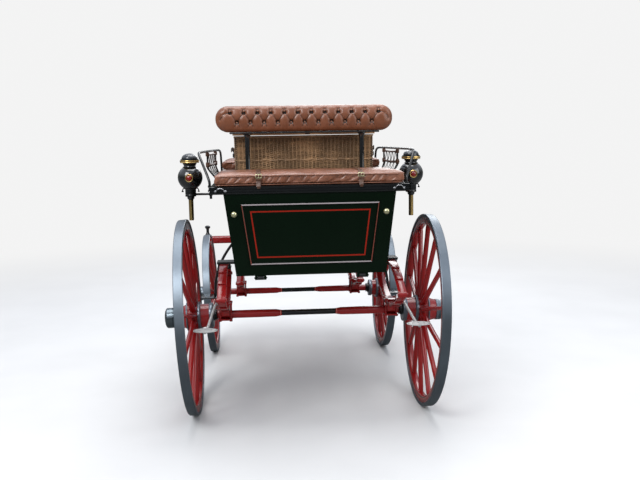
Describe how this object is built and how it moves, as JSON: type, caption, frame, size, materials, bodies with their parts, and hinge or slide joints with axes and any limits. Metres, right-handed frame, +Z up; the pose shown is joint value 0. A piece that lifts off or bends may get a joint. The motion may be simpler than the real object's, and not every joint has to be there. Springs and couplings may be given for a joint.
{
  "type": "dog cart",
  "caption": "Horse-drawn four-wheeled dog cart with a louvred boot, drop tailboard, back-to-back seats, wicker hamper, lamps and a steering fore carriage.",
  "frame": {"origin": "on the ground, in the middle of the cart's length and width", "axes": "+Y the way the cart travels, +Z up, +X to its right"},
  "size_m": [1.6538, 2.371, 1.757],
  "materials": {
    "tyre_iron": "worn grey-blue iron",
    "red_wood": "deep red varnished paint with fine black lines",
    "red_iron": "deep red varnished paint on iron",
    "black_iron": "gloss black paint on iron",
    "bright_steel": "bare polished steel",
    "green_wood": "near-black green coach varnish",
    "bare_wood": "oiled boards",
    "brown_leather": "brown buttoned leather, slightly worn",
    "wicker": "woven brown willow",
    "brass": "polished brass",
    "lamp_metal": "black japanned sheet with brass rings and glass lenses"
  },
  "bodies": {
    "carriage_body": {"body_floor": "bare_wood", "body_side_left": "green_wood", "body_side_right": "green_wood", "boot_front_board": "green_wood", "toe_board": "green_wood", "dash": "green_wood", "seat_deck": "green_wood", "seat_rail": "black_iron", "front_transom": "green_wood", "fifth_wheel_upper": "black_iron", "kingpin": "bright_steel", "rear_body_bracket_left": "black_iron", "rear_body_bracket_right": "black_iron", "rear_spring_left": "red_iron", "rear_spring_right": "red_iron", "tailboard_hinge_left": "black_iron", "tailboard_hinge_right": "black_iron", "rear_cushion": "brown_leather", "bolster": "brown_leather", "bolster_frame": "black_iron", "front_seat_box": "green_wood", "front_cushion": "brown_leather", "hamper_body": "wicker", "side_rail_left": "black_iron", "side_rail_right": "black_iron", "lamp_bracket_left": "black_iron", "lamp_bracket_right": "black_iron", "front_step_left": "black_iron", "front_step_right": "black_iron"},
    "rear_axle": {"rear_axle": "red_iron", "rear_step_left": "bright_steel", "rear_step_right": "bright_steel"},
    "fore_carriage": {"fore_frame": "red_wood", "splinter_bar": "red_wood", "roller_bolt_left": "black_iron", "roller_bolt_right": "black_iron", "fifth_wheel_lower": "black_iron", "front_spring_left": "red_iron", "front_spring_right": "red_iron"},
    "front_axle": {"front_axle": "red_iron"},
    "rear_left_wheel": {"rear_left_wheel_tyre": "tyre_iron", "rear_left_wheel_rim": "red_wood", "rear_left_wheel_hub": "red_wood"},
    "rear_right_wheel": {"rear_right_wheel_tyre": "tyre_iron", "rear_right_wheel_rim": "red_wood", "rear_right_wheel_hub": "red_wood"},
    "front_left_wheel": {"front_left_wheel_tyre": "tyre_iron", "front_left_wheel_rim": "red_wood", "front_left_wheel_hub": "red_wood"},
    "front_right_wheel": {"front_right_wheel_tyre": "tyre_iron", "front_right_wheel_rim": "red_wood", "front_right_wheel_hub": "red_wood"},
    "tailboard": {"tailboard": "green_wood", "tailboard_moulding": "green_wood", "tailboard_knob_left": "brass", "tailboard_knob_right": "brass"},
    "hamper_lid": {"hamper_lid": "wicker"},
    "lamp_left": {"lamp_left": "lamp_metal"},
    "lamp_right": {"lamp_right": "lamp_metal"}
  },
  "joints": [
    {"name": "rear_axle_travel", "type": "slide", "parent": "carriage_body", "child": "rear_axle", "axis": [0, 0, 1], "range_m": [-0.03, 0.05], "stiffness_N_per_m": 60000, "springref_m": -0.027, "deforming": ["rear_spring_left", "rear_spring_right"]},
    {"name": "fore_carriage_steer", "type": "hinge", "parent": "carriage_body", "child": "fore_carriage", "pos_m": [0, 0.70855, 0.7256], "axis": [0, 0, 1], "range_deg": [-30, 30]},
    {"name": "front_axle_travel", "type": "slide", "parent": "fore_carriage", "child": "front_axle", "axis": [0, 0, 1], "range_m": [-0.03, 0.05], "stiffness_N_per_m": 60000, "springref_m": -0.013, "deforming": ["front_spring_left", "front_spring_right"]},
    {"name": "rear_left_wheel_spin", "type": "hinge", "parent": "rear_axle", "child": "rear_left_wheel", "pos_m": [-0.686, -0.62445, 0.55947], "axis": [-0.999, 0, -0.0436], "continuous": true},
    {"name": "rear_right_wheel_spin", "type": "hinge", "parent": "rear_axle", "child": "rear_right_wheel", "pos_m": [0.686, -0.62445, 0.55947], "axis": [0.999, 0, -0.0436], "continuous": true},
    {"name": "front_left_wheel_spin", "type": "hinge", "parent": "front_axle", "child": "front_left_wheel", "pos_m": [-0.648, 0.70855, 0.43359], "axis": [-0.999, 0, -0.0436], "continuous": true},
    {"name": "front_right_wheel_spin", "type": "hinge", "parent": "front_axle", "child": "front_right_wheel", "pos_m": [0.648, 0.70855, 0.43359], "axis": [0.999, 0, -0.0436], "continuous": true},
    {"name": "tailboard_drop", "type": "hinge", "parent": "carriage_body", "child": "tailboard", "pos_m": [0, -0.98345, 0.838], "axis": [1, 0, 0], "range_deg": [0, 90]},
    {"name": "hamper_lid_lift", "type": "hinge", "parent": "carriage_body", "child": "hamper_lid", "pos_m": [0, -0.17045, 1.5903], "axis": [-1, 0, 0], "range_deg": [0, 100]},
    {"name": "lamp_left_lift", "type": "slide", "parent": "carriage_body", "child": "lamp_left", "axis": [0, 0, 1], "range_m": [0, 0.19]},
    {"name": "lamp_right_lift", "type": "slide", "parent": "carriage_body", "child": "lamp_right", "axis": [0, 0, 1], "range_m": [0, 0.19]}
  ]
}
